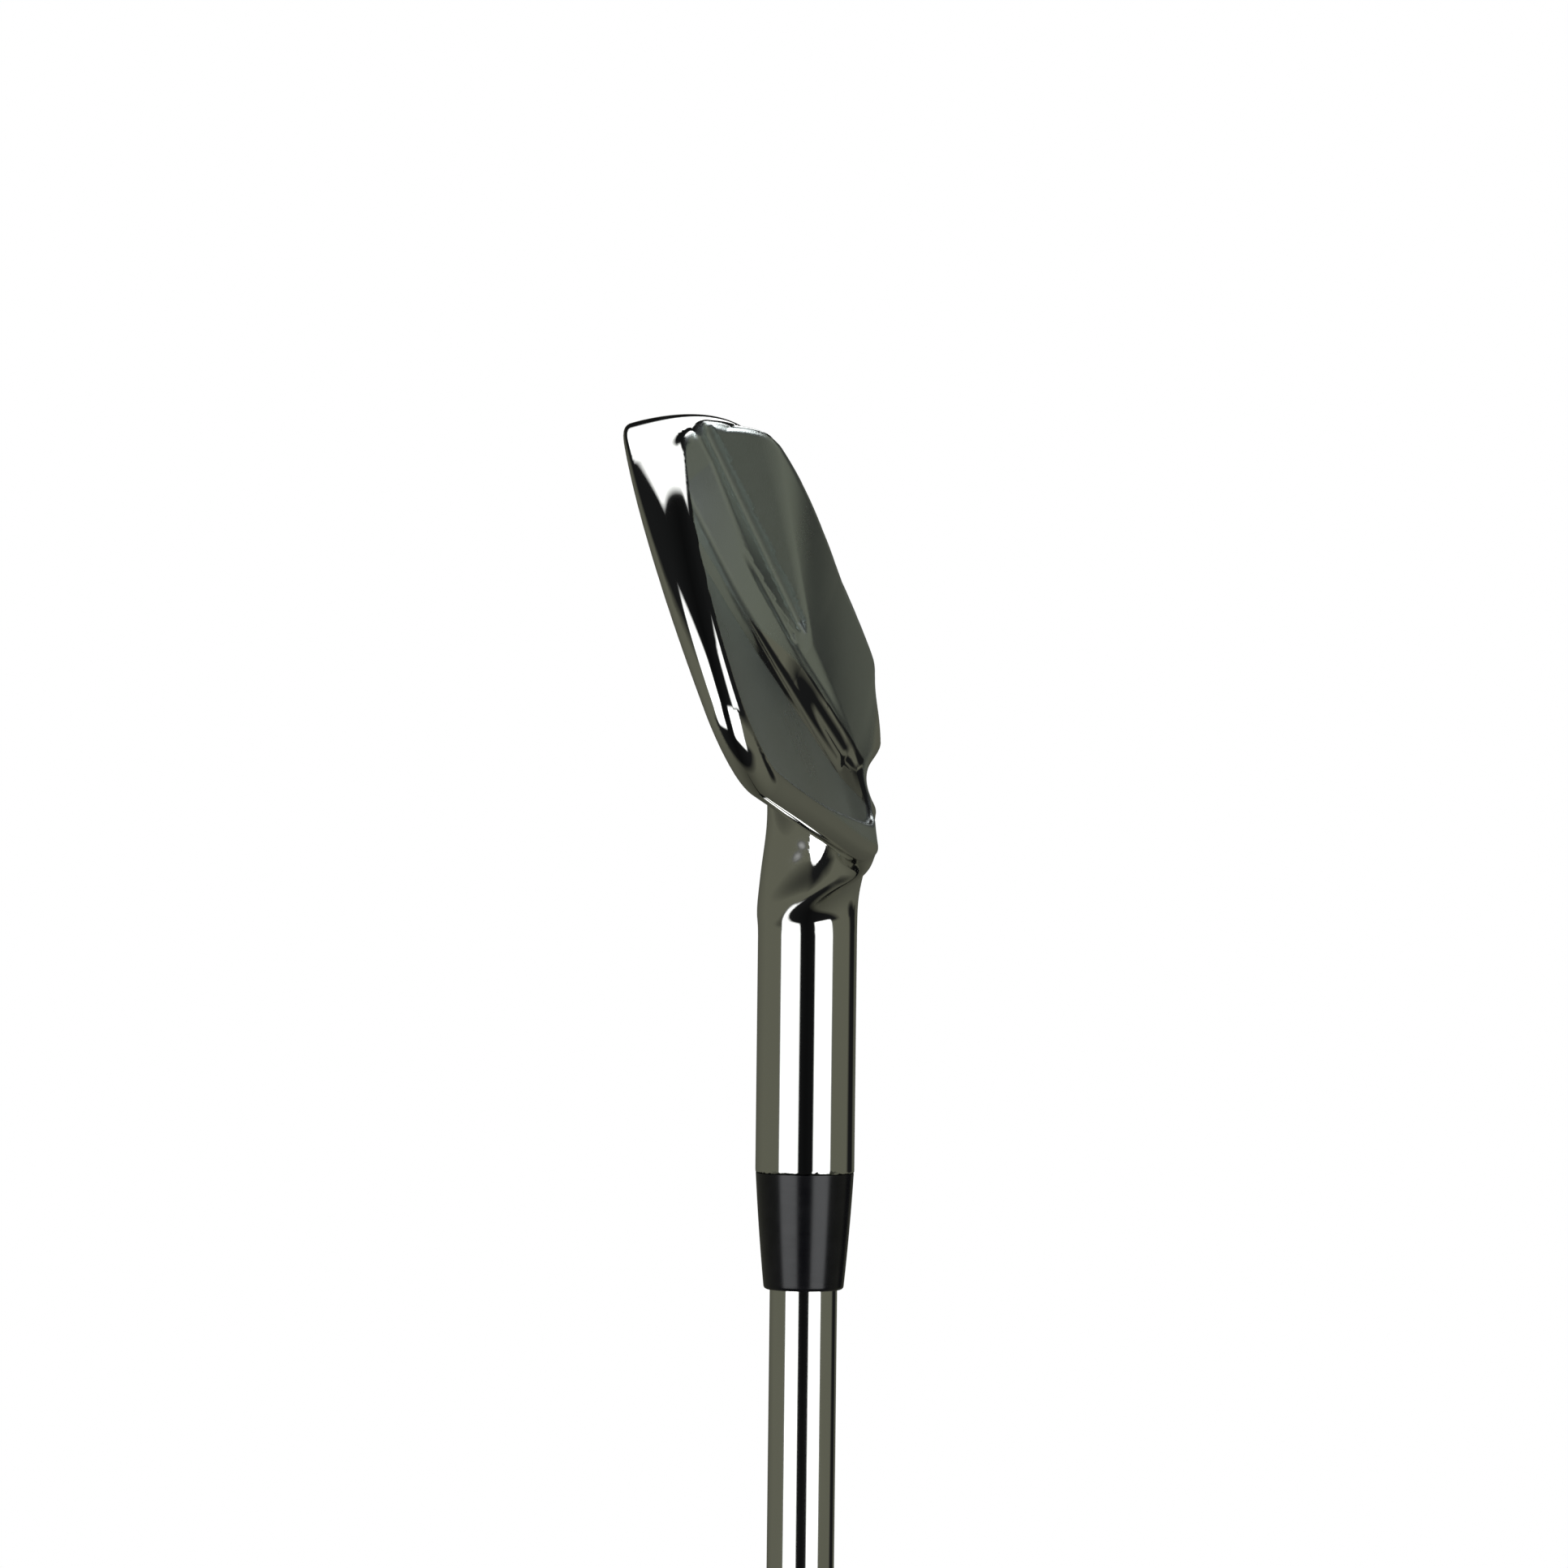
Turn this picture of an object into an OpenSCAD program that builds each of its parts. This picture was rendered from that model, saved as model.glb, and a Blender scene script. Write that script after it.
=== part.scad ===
// Iron golf club: forged chrome head, stepped steel shaft, ferrule and rubber grip.
// Units are millimetres. The origin is the centre of the grip's butt end, +Z runs along the
// shaft towards the head, +X points to the toe and +Y to the back of the head.

/* [Club] */
// Length from the butt end to the ground, along the shaft axis
club_length = 952; // [900:1:1010]
// Angle between the shaft and the ground at address
lie = 62; // [58:0.5:65]
// Angle of the face from the vertical at address
loft = 26; // [20:0.5:38]
// Set-back of the leading edge behind the front of the hosel
offset_mm = 2.5; // [0:0.1:5]

/* [Hosel and shaft fit] */
// Outer diameter of the hosel
hosel_d = 13.8; // [12.8:0.1:14.4]
// Length from the hosel's mouth to the ground, along the shaft axis
hosel_length = 71.4; // [68:0.1:76]
// Diameter of the bore in the hosel
bore_d = 9.7; // [9.6:0.05:9.9]
// Depth of the bore
bore_depth = 34; // [30:0.5:36]

/* [Shaft] */
// Diameter of the parallel tip section
tip_d = 9.4; // [9.0:0.1:9.5]
// Diameter of the butt section
butt_d = 15.2; // [14.6:0.1:15.6]
// Wall thickness of the tube
shaft_wall = 0.65; // [0.5:0.05:0.9]
// Length of the parallel tip section
tip_section = 230; // [180:5:260]
// Number of steps between the tip and butt sections
shaft_steps = 13; // [8:1:14]
// Distance between two steps
step_pitch = 36; // [28:1:37]

/* [Ferrule] */
// Length of the ferrule
ferrule_length = 16.2; // [12:0.1:25]
// Diameter of its small end, next to the shaft
ferrule_end_d = 11.2; // [10.6:0.1:12]

/* [Grip] */
// Length of the rubber sleeve, cap included
grip_length = 267; // [255:1:280]
// Diameter at the butt end
grip_butt_d = 26.6; // [25:0.1:28]
// Diameter of the mouth, next to the shaft
grip_mouth_d = 17.2; // [16.8:0.1:19]
// Diameter of the vent hole in the cap
vent_d = 3.2; // [2:0.1:4]

/* [Head] */
// Radius of the toe, seen square to the face
toe_side_r = 62; // [55:1:75]
// Radius where the topline meets the toe
toe_top_r = 11; // [8:0.5:14]
// Radius where the sole meets the toe
toe_bottom_r = 13.5; // [12:0.5:16]
// Slope of the topline above the sole line
topline_slope = 21.8; // [18:0.2:24]
// Thickness of the topline and of the toe
rim_t = 5.2; // [4.4:0.1:6.5]
// Thickness of the blade at the cavity floor
floor_t = 4.3; // [3.6:0.1:5]
// Width of the sole near the toe
sole_toe_w = 22.8; // [20:0.2:25]
// Width of the sole at the heel
sole_heel_w = 14.6; // [13:0.2:18]
// Number of score lines on the face
score_lines = 13; // [8:1:14]
// Distance between two score lines
score_pitch = 3.6; // [3:0.1:4]

/* [Hidden] */

hosel_r = hosel_d / 2;
lead_y = offset_mm - hosel_r;
mouth_z = club_length - hosel_length;
bore_end_z = mouth_z + bore_depth;

// Shaft: the tip's end rests on the flange of the tip weight.
weight_flange = 1.4;
glue_floor = 0.4;
tip_z = bore_end_z - glue_floor - weight_flange;
cap_t = 3.4;
butt_z = cap_t;
step_h = (butt_d - tip_d) / 2 / shaft_steps;
step_slope = 0.8;
first_step_z = tip_z - tip_section;

tape_t = 0.25;

// Outline of the head in its own frame: u runs from heel to toe along the sole, v up the face.
side_c = [16.2, 31.2];
top_a = 21.6;
bottom_a = -20.8;
top_c = side_c + (toe_side_r - toe_top_r) * [cos(top_a), sin(top_a)];
bottom_c = side_c + (toe_side_r - toe_bottom_r) * [cos(bottom_a), sin(bottom_a)];
sole_r = 480;
sole_c = [32, sole_r - 0.8];
sole_end_a = asin((bottom_c[0] - sole_c[0]) / (sole_r - toe_bottom_r));
blade_heel_u = -2;
above_v = 80;
below_v = -4;
heel_uv = [4.2, 20];
heel_r = 20;
heel_top_a = 221;

// Neck: the sections turn about turn_c, from square to the shaft to square to the sole line.
turn_r = 10.6;
turn_n = topline_v(blade_heel_u) * cos(loft) + turn_r - 0.4;
turn_x = hosel_r + turn_r;
turn_c = [turn_x, -(turn_n - turn_x * cos(lie)) / sin(lie)];
heel_c = [heel_r - hosel_r, -15.7];
neck_sides = 40;
neck_gap = 0.03;
neck_turns = 16;
neck_tail = 4;

function mix(a, b, t) = a + (b - a) * t;
function arc(c, r, a0, a1, n) =
    [for (i = [0:n]) let (a = mix(a0, a1, i / n)) c + r * [cos(a), sin(a)]];
function ease(t) = t * t * (3 - 2 * t);

// Closed outline, drawn in by inset all round, with the same number of points at any inset.
function outline(inset) =
    let (line_p = top_c + (toe_top_r - inset) * [-sin(topline_slope), cos(topline_slope)])
    concat(
        arc(heel_uv, heel_r - inset, heel_top_a, 272, 12),
        arc(sole_c, sole_r - inset, -93.2, sole_end_a - 90, 14),
        arc(bottom_c, toe_bottom_r - inset, sole_end_a - 80, bottom_a - 2, 14),
        arc(side_c, toe_side_r - inset, bottom_a, top_a, 14),
        arc(top_c, toe_top_r - inset, top_a + 8, 90 + topline_slope, 12),
        [[blade_heel_u, line_p[1] - (line_p[0] - blade_heel_u) * tan(topline_slope)]]);

// How far the outline draws in at a height w above the face: a crowned rim.
crown_depth = 1.7;
function crown(t) = crown_depth * pow(abs(2 * t - 1), 3);

// Below sweep_v the outline follows the sole, square to the ground line and not to the face.
sweep_lo = 16;
sweep_hi = 34;
function lean(v) = 1 - ease(min(1, max(0, (v - sweep_lo) / (sweep_hi - sweep_lo))));

// Thickness of the solid that the crown follows: thick at the sole, thin above the muscle.
sole_rim_t = 20;
sole_rim_v = 9;
function rim_at(v) = mix(sole_rim_t, rim_t, ease(min(1, max(0, (v - sole_rim_v) / sole_rim_v))));

// Back profile at a station u: points [v, w] from the topline down to the trailing edge.
muscle_top_v = 20;
shelf_w = 7.1;
apex_u = 24;
facet_len = 42;
function sole_w_at(u) = mix(sole_heel_w, sole_toe_w, u / 60);
function facet_t(u) = max(0, (u - apex_u) / facet_len);
shelf_fall = [2.2, 1.2];
shelf_gap = 0.8;
facet_top = [19.8, 7.5];
facet_fall = [10.5, -3.2];
crease_top = [18.6, 7.9];
crease_end = [1.2, -2.2];
trail_edge = [1.6, -0.6];
trail_round = 0.4;
rim_w = 3;
rim_wall = 1.4;
shelf_run = 3;
shelf_step = 0.2;
function trailing(u) = sole_w_at(u) * [sin(loft), cos(loft)] + trail_edge;
function shelf_edge(u) = [muscle_top_v, shelf_w] - shelf_fall * facet_t(u);
function facet_edge(u) = facet_top - facet_fall * facet_t(u);
function crease(u) = mix(crease_top, trailing(u) + crease_end, min(1, facet_t(u)));
function back_profile(u) =
    let (e = trailing(u), sh = shelf_edge(u), fe = facet_edge(u), cr = crease(u))
    [
        [above_v, rim_t],
        [topline_v(u) - rim_w, rim_t],
        [topline_v(u) - rim_w - rim_wall, floor_t],
        [sh[0] + shelf_run, floor_t + shelf_step],
        sh,
        [min(fe[0], sh[0] - shelf_gap), fe[1]],
        [min(cr[0], sh[0] - 2 * shelf_gap), max(cr[1], fe[1] + 0.3)],
        e + [1.5, -1] * trail_round,
        e + [-1, 1] * trail_round,
        e + [-4.5, 1] * trail_round,
        [below_v, e[1] - 3],
    ];
function topline_v(u) =
    min(top_c[1] + toe_top_r / cos(topline_slope) + (u - top_c[0]) * tan(topline_slope), above_v);

// A solid through rings of equal point count, closed by a face at each end.
module loft_rings(rings) {
    n = len(rings[0]);
    last = (len(rings) - 1) * n;
    sides = [for (i = [0:len(rings) - 2]) for (j = [0:n - 1])
        let (k = (j + 1) % n) each [
            [i * n + j, (i + 1) * n + j, i * n + k],
            [(i + 1) * n + j, (i + 1) * n + k, i * n + k]]];
    start_face = [for (j = [0:n - 1]) j];
    end_face = [for (j = [n - 1:-1:0]) last + j];
    polyhedron([for (r = rings) each r], concat(sides, [start_face, end_face]), convexity = 8);
}

// Puts a child drawn in u, v, w onto the club: u heel to toe, v up the face, w to the back.
module in_head_frame() {
    translate([0, lead_y, club_length]) rotate([loft - 90, lie - 90, 0]) children();
}

module outline_solid() {
    stack = [for (w = [-0.5, 0, 0.4, 1, 2, 3.2, 4.2, 4.8, 5.2, 7, 10, 14, 18, 21, 24])
        [for (i = [0:len(outline(0)) - 1])
            let (p0 = outline(0)[i],
                 t = max(0, min(1, w / rim_at(p0[1]))),
                 p = outline(crown(t))[i])
            [p[0], p[1] + w * tan(loft) * lean(p[1]), w]]];
    loft_rings(stack);
}

module profile_solid() {
    stations = [for (u = [-18:3:81]) u];
    loft_rings([for (u = stations) let (b = back_profile(u))
        concat([[u, below_v, 0], [u, above_v, 0]], [for (p = b) [u, p[0], p[1]]])]);
}

module blade() {
    in_head_frame() intersection() {
        outline_solid();
        profile_solid();
    }
}

// Distance from the turning centre to the heel's outer edge, for a section tilted by a.
function outer_reach(a) =
    let (d = [-cos(a), sin(a)],
         straight = (turn_c[0] + hosel_r) / cos(a),
         q = turn_c - heel_c,
         b = q * d,
         far = -b + sqrt(b * b - q * q + heel_r * heel_r))
    turn_c[1] + straight * sin(a) < heel_c[1] ? straight : far;

// Middle and half thickness of the neck where it meets the blade, from the topline to the sole.
neck_middle = [[0, 12.6], [0.35, 8.4], [0.6, 6], [1, 2.8]];
neck_half = [[0, 2.4], [0.35, 3.2], [0.6, 4.8], [1, 6.4]];
neck_squareness = 0.45;

// One ring of the neck: k runs from the round hosel to the blade's section.
function neck_ring(a, k) =
    let (r1 = outer_reach(a))
    [for (j = [0:neck_sides - 1])
        let (th = 360 * j / neck_sides,
             q = (1 - cos(th)) / 2,
             reach = mix(turn_r + neck_gap * (1 - k), r1 - neck_gap * (1 - k), q),
             round_y = (hosel_r - neck_gap) * sin(th),
             swell = sign(sin(th)) * pow(abs(sin(th)), neck_squareness),
             edge_y = lookup(q, neck_middle) + lookup(q, neck_half) * swell)
        [turn_c[0] - reach * cos(a), mix(round_y, edge_y, k), club_length + turn_c[1] + reach * sin(a)]];

module neck() {
    turn = [for (i = [0:neck_turns]) let (t = i / neck_turns) neck_ring(lie * t, ease(t))];
    tail = [for (p = turn[neck_turns]) p + neck_tail * [sin(lie), 0, cos(lie)]];
    loft_rings(concat(turn, [tail]));
}

module hosel() {
    translate([0, 0, mouth_z]) cylinder(d = hosel_d, h = club_length + turn_c[1] - mouth_z, $fn = 96);
}

// Score lines: shallow channels across the face, parallel to the sole.
score_w = 0.8;
score_depth = 0.4;
score_from_v = 6;
score_heel_u = 12;
score_toe_u = 62;
score_inset = 5;
module score_cuts() {
    in_head_frame() for (i = [0:score_lines - 1]) {
        v = score_from_v + i * score_pitch;
        u0 = max(score_heel_u, (v + score_inset - topline_v(0)) / tan(topline_slope));
        translate([u0, v - score_w / 2, -1]) cube([score_toe_u - u0, score_w, 1 + score_depth]);
    }
}

// Blade and neck are joined at their own size first, then the round hosel is added to them.
module forged_head() {
    color("#a9aba4") difference() {
        union() {
            resize([0, 0, 0]) {
                blade();
                neck();
            }
            hosel();
        }
        translate([0, 0, mouth_z - 1]) cylinder(d = bore_d, h = bore_depth + 1, $fn = 64);
        score_cuts();
    }
}

// Ferrule: a turned taper that starts flush with the hosel.
ferrule_step = 0.05;
ferrule_bow = 0.28;
ferrule_lip = 0.35;
function ferrule_r(s) = mix(hosel_r - ferrule_step, ferrule_end_d / 2, s - ferrule_bow * s * (1 - s));
module ferrule() {
    n = 12;
    outer = [for (i = [0:n]) let (s = i / n)
        [ferrule_r(s) - (i == n ? ferrule_lip : 0), -s * ferrule_length]];
    color("#101010") translate([0, 0, mouth_z])
        rotate_extrude($fn = 96) polygon(concat([[tip_d / 2, 0]], outer, [[tip_d / 2, -ferrule_length]]));
}

// Adhesive: a thin sleeve round the tip and a floor under it.
module hosel_epoxy() {
    color("#d8c38a") difference() {
        translate([0, 0, mouth_z]) cylinder(d = bore_d, h = bore_depth, $fn = 64);
        translate([0, 0, mouth_z - 1]) cylinder(d = tip_d, h = bore_depth + 1 - glue_floor, $fn = 64);
    }
}

// Outer edge of the shaft, from the butt up to the tip, as [radius, height].
function shaft_edge(inset) = concat(
    [[butt_d / 2 - inset, butt_z]],
    [for (i = [shaft_steps - 1:-1:0])
        let (z = first_step_z - i * step_pitch, r = tip_d / 2 + (i + 1) * step_h - inset)
        each [[r, z - step_slope], [r - step_h, z]]],
    [[tip_d / 2 - inset, tip_z]]);

module shaft() {
    inner = shaft_edge(shaft_wall);
    color("#b9bab5") rotate_extrude($fn = 96)
        polygon(concat(shaft_edge(0), [for (i = [len(inner) - 1:-1:0]) inner[i]]));
}

// Tip weight: a brass pin in the shaft's tip, with a flange that the tip sits on.
weight_length = 22;
module tip_weight() {
    color("#b08d4a") {
        translate([0, 0, tip_z - weight_length])
            cylinder(d = tip_d - 2 * shaft_wall, h = weight_length + weight_flange, $fn = 64);
        translate([0, 0, tip_z]) cylinder(d = tip_d, h = weight_flange, $fn = 64);
    }
}

// Double-sided tape between the shaft and the grip.
tape_end_z = 236;
tape_r = butt_d / 2 + tape_t;
module grip_tape() {
    color("#e6e0cc") rotate_extrude($fn = 96) polygon([
        [butt_d / 2, butt_z], [tape_r, butt_z], [tape_r, tape_end_z], [butt_d / 2, tape_end_z]]);
}

// Outer radius of the grip at a fraction t of its length: fuller under the upper hand.
grip_taper = 0.68;
grip_curve = 0.9;
function grip_r(t) =
    mix(grip_butt_d / 2, grip_mouth_d / 2, mix(t, pow(t, grip_taper), grip_curve));

// Rubber sleeve: its bore follows the tape, then the bare shaft and its last step.
mouth_round = 1.2;
module grip_sleeve() {
    n = 28;
    last_step_z = first_step_z - (shaft_steps - 1) * step_pitch;
    near_z = grip_length - mouth_round;
    lip = [for (a = [90:-22.5:0]) [
        grip_mouth_d / 2 - mouth_round + mouth_round * sin(a),
        near_z + mouth_round * cos(a)]];
    side = [for (i = [0:n]) let (t = i / n) [grip_r(t), mix(cap_t, near_z, t)]];
    inside = [
        [butt_d / 2 - step_h, grip_length],
        [butt_d / 2 - step_h, last_step_z],
        [butt_d / 2, last_step_z - step_slope],
        [butt_d / 2, tape_end_z],
        [tape_r, tape_end_z],
        [tape_r, cap_t]];
    color("#1c1c1d") rotate_extrude($fn = 96) polygon(concat(side, lip, inside));
}

// End cap: a moulded rubber disc with a rounded edge and a vent hole.
cap_round = 2.6;
module grip_cap() {
    r = grip_butt_d / 2;
    edge = [for (a = [0:15:90]) [r - cap_round + cap_round * sin(a), cap_round - cap_round * cos(a)]];
    color("#232324") rotate_extrude($fn = 96)
        polygon(concat([[vent_d / 2, 0]], edge, [[r, cap_t], [vent_d / 2, cap_t]]));
}

forged_head();
ferrule();
hosel_epoxy();
shaft();
tip_weight();
grip_tape();
grip_sleeve();
grip_cap();
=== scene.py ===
import bpy
import math
import numpy as np
from mathutils import Matrix, Vector


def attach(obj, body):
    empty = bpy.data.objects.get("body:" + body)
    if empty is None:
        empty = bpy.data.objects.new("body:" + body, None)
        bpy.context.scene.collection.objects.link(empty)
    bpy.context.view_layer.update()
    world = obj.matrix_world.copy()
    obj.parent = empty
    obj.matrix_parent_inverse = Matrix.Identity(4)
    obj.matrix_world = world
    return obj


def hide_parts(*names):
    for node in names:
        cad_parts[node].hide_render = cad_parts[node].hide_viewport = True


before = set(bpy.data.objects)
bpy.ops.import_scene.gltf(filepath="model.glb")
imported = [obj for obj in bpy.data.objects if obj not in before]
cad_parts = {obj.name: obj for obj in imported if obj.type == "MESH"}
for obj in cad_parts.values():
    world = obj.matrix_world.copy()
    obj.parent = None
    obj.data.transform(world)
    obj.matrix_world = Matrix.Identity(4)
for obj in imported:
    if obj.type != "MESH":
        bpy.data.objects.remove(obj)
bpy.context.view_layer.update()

# Lengths are millimetres in the head frame and in the club frame, and turn into metres in
# as_object. The club frame is the CAD model's: +Z runs along the shaft from the butt to the head.
MM = 0.001
CLUB_LENGTH = 952.0
LIE = math.radians(62)
LOFT = math.radians(26)
HOSEL_R = 6.9
LEAD_Y = 2.5 - HOSEL_R
MOUTH_Z = 880.6
BORE_R = 4.85
BORE_END_Z = 914.6
CELL = 0.43


# ---------------------------------------------------------------- signed distance helpers

def smooth(t):
    t = np.clip(t, 0.0, 1.0)
    return t * t * (3 - 2 * t)


def mix(a, b, t):
    return a + (b - a) * t


def meet(a, b, r):
    """Intersection of two solids, with a convex edge of radius r."""
    return np.minimum(np.maximum(a, b), -r) + np.hypot(np.maximum(a + r, 0), np.maximum(b + r, 0))


def join(a, b, r):
    """Union of two solids, with a concave fillet of radius r."""
    return np.maximum(np.minimum(a, b), r) - np.hypot(np.maximum(r - a, 0), np.maximum(r - b, 0))


def side_of(v, w, start, end):
    """Distance of (v, w) outside the line from start to end; the solid is on its left."""
    dv, dw = end[0] - start[0], end[1] - start[1]
    return ((v - start[0]) * dw - (w - start[1]) * dv) / np.hypot(dv, dw)


# ---------------------------------------------------------------- head shape
# u runs from heel to toe along the sole, v up the face, w to the back.

G = np.array([math.sin(LIE), 0, math.cos(LIE)])
N = np.array([math.cos(LIE), 0, -math.sin(LIE)])
Y = np.array([0.0, 1.0, 0.0])
F = math.cos(LOFT) * N + math.sin(LOFT) * Y
W = math.cos(LOFT) * Y - math.sin(LOFT) * N
BLADE = np.array([G, F, W])
ORIGIN = np.array([0, LEAD_Y, CLUB_LENGTH])

TOE_R, TOE_TOP_R, TOE_BOTTOM_R = 62.0, 11.0, 13.5
TOE_C = (16.2, 31.2)
TOP_A = math.radians(21.6)
TOP_SLOPE = math.radians(21.8)
TOP_C = (TOE_C[0] + (TOE_R - TOE_TOP_R) * math.cos(TOP_A),
         TOE_C[1] + (TOE_R - TOE_TOP_R) * math.sin(TOP_A))
SOLE_R = 480.0
SOLE_C = (32.0, SOLE_R - 0.8)
# The toe's lower corner touches the toe's arc and the sole's arc.
TO_SOLE = (SOLE_C[0] - TOE_C[0], SOLE_C[1] - TOE_C[1])
GAP = math.hypot(*TO_SOLE)
INNER_TOE, INNER_SOLE = TOE_R - TOE_BOTTOM_R, SOLE_R - TOE_BOTTOM_R
BOTTOM_A = math.atan2(TO_SOLE[1], TO_SOLE[0]) - math.acos(
    (INNER_TOE ** 2 + GAP ** 2 - INNER_SOLE ** 2) / (2 * INNER_TOE * GAP))
BOTTOM_C = (TOE_C[0] + INNER_TOE * math.cos(BOTTOM_A), TOE_C[1] + INNER_TOE * math.sin(BOTTOM_A))
SOLE_END_A = math.atan2(BOTTOM_C[1] - SOLE_C[1], BOTTOM_C[0] - SOLE_C[0])
HEEL_C = (4.2, 20.0)
HEEL_R = 20.0
HEEL_EDGE_R = 1.0
# Below the first height the outline is swept straight back, above the second square to the face.
SWEEP_LOW_V, SWEEP_HIGH_V = 16.0, 34.0

# The muscle's lines: where each starts in (v, w), and its change for each millimetre of u. The
# shelf runs from u = 0, the others from APEX_U, where they fan out towards the toe.
APEX_U = 27.0
SHELF = ((20.0, 6.75), (0.056, 0.011))
STRIP = ((20.0, 7.05), (-0.077, 0.030))
FACET = ((18.9, 8.6), (-0.189, 0.047))
CREASE = ((18.8, 8.9), (-0.220, 0.233))
FLOOR_END = (26.5, 0.033)
FLOOR_LIFT = 0.1
BACK_TILT, BACK_TILT_PER_U, BACK_TILT_LIMITS = 66, 0.66, (22, 70)
BACK_DEPTH, BACK_DEPTH_PER_U, BACK_DEPTH_R = 14.9, 0.137, 3.0
COVE_R, COVE_DV, COVE_DW = 3.6, 3.1, 1.8
SHELF_R, STRIP_R, FACET_R = 0.25, 0.3, 0.4
GROOVE_R = 0.95
GROOVE_OFF, TRENCH_OFF = (0.3, 0.6), (0.5, 0.4)
GROOVE_RISE, GROOVE_FALL, GROOVE_END_U = 5, 4, 73

TOP_T, T_PER_V, TOP_V = 4.65, 0.085, 58
SOLE_T, SOLE_T_V, SOLE_T_RUN = 10, 16, 12
CROWN = 1.5
CAVITY_HEEL_U, CAVITY_HEEL_R = -1.5, 5.5
BEVEL_SLOPE, BEVEL_W = 0.28, 5
RIM_R, FLOOR_R, MUSCLE_R = 0.6, 1.2, 0.8
BACK_EDGE_R, FACE_EDGE_R = 1.3, 1.2

# The neck's sections turn about a point beside the hosel, from square to it to the heel's end.
TURN_R = 10.6
TURN_U = -2.0
TURN_LAP = 0.4
HEEL_XZ = (HEEL_R - HOSEL_R, -15.7)
NECK_REACH = 32.0
NECK_HOLD = 0.15
NECK_EDGE_R = 3.6
CORE_Z, CORE_SHIFT, CORE_SHIFT_Z, CORE_SHIFT_RUN = -20.0, 1.3, -34, 14
BLEND_R, BLEND_RUN = 10.0, 22
BLEND_BACK_Y, BLEND_FRONT_Y = 8, 3
BLADE_FROM_U, BLADE_RUN = -6, 8

# A notch between the muscle and the rim, square to the shaft across the heel.
NOTCH_V, NOTCH_W, NOTCH_R = 23.5, 6.2, 5.0
NOTCH_V_PER_U, NOTCH_W_PER_U = 0.59, 0.22
NOTCH_EDGE_R = 1.2
MOUTH_EDGE_R = 0.3

HEAD_LOW, HEAD_HIGH = (-43, -5, -34), (81, 66, 24)


def topline_v(u):
    return TOP_C[1] + TOE_TOP_R / math.cos(TOP_SLOPE) + (u - TOP_C[0]) * math.tan(TOP_SLOPE)


TURN_N = topline_v(TURN_U) * math.cos(LOFT) + TURN_R - TURN_LAP
TURN_X = HOSEL_R + TURN_R
TURN_Z = -(TURN_N - TURN_X * math.cos(LIE)) / math.sin(LIE)


def corner(a, b, p, q, centre, r, from_a, to_a):
    """Largest of a and b, with an exact arc of radius r between two angles about its centre."""
    dp, dq = p - centre[0], q - centre[1]
    after = math.cos(from_a) * dq - math.sin(from_a) * dp
    before = dp * math.sin(to_a) - dq * math.cos(to_a)
    return np.where((after > 0) & (before > 0), np.hypot(dp, dq) - r, np.maximum(a, b))


def outline(u, v, w):
    """Distance outside the head's outline, and the same for the topline and toe alone."""
    lean = 1 - smooth((v - SWEEP_LOW_V) / (SWEEP_HIGH_V - SWEEP_LOW_V))
    vs = v - w * math.tan(LOFT) * lean
    sole = np.hypot(u - SOLE_C[0], vs - SOLE_C[1]) - SOLE_R
    toe = np.hypot(u - TOE_C[0], vs - TOE_C[1]) - TOE_R
    top = (vs - TOP_C[1]) * math.cos(TOP_SLOPE) - (u - TOP_C[0]) * math.sin(TOP_SLOPE) - TOE_TOP_R
    heel = np.hypot(np.minimum(u - HEEL_C[0], 0), np.minimum(vs - HEEL_C[1], 0)) - HEEL_R
    upper = meet(toe, top, TOE_TOP_R)
    lower = corner(upper, sole, u, vs, BOTTOM_C, TOE_BOTTOM_R, SOLE_END_A, BOTTOM_A)
    return meet(lower, heel, HEEL_EDGE_R), top, toe


def on_line(line, run):
    (v, w), (dv, dw) = line
    return v + dv * run, w + dw * run


def back_lines(u):
    """Points in (v, w) at a station u, from the cavity floor down to the crease."""
    run = np.maximum(u - APEX_U, 0)
    inner = (FLOOR_END[0] + FLOOR_END[1] * u, floor_w(u) + FLOOR_LIFT)
    return inner, on_line(SHELF, u), on_line(STRIP, run), on_line(FACET, run), on_line(CREASE, run)


def muscle(u, v, w):
    """The raised lower half of the back, with its shelf, strips and facet."""
    inner, shelf, strip, facet, crease = back_lines(u)
    tilt = np.radians(np.clip(BACK_TILT - BACK_TILT_PER_U * u, *BACK_TILT_LIMITS))
    back = (v - crease[0]) * np.cos(tilt) + (w - crease[1]) * np.sin(tilt)
    depth = v * math.sin(LOFT) + w * math.cos(LOFT) - (BACK_DEPTH + BACK_DEPTH_PER_U * u)
    back = meet(back, depth, BACK_DEPTH_R)
    cove = COVE_R - np.hypot(v - shelf[0] - COVE_DV, w - shelf[1] - COVE_DW)
    upper = np.maximum(side_of(v, w, inner, shelf), cove)
    step = meet(upper, side_of(v, w, shelf, strip), SHELF_R)
    step = join(step, side_of(v, w, strip, facet), STRIP_R)
    begun = np.clip((u - APEX_U) / GROOVE_RISE, 0, 1)
    begun = begun * np.clip((GROOVE_END_U - u) / GROOVE_FALL, 0, 1)
    groove, trench = [
        np.hypot(v - line[0] - off[0], w - line[1] - off[1]) - GROOVE_R * begun
        for line, off in ((strip, GROOVE_OFF), (facet, TRENCH_OFF))]
    scoop = join(np.maximum(step, -groove), side_of(v, w, facet, crease), FACET_R)
    return meet(back, np.maximum(scoop, -trench), FACET_R)


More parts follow.
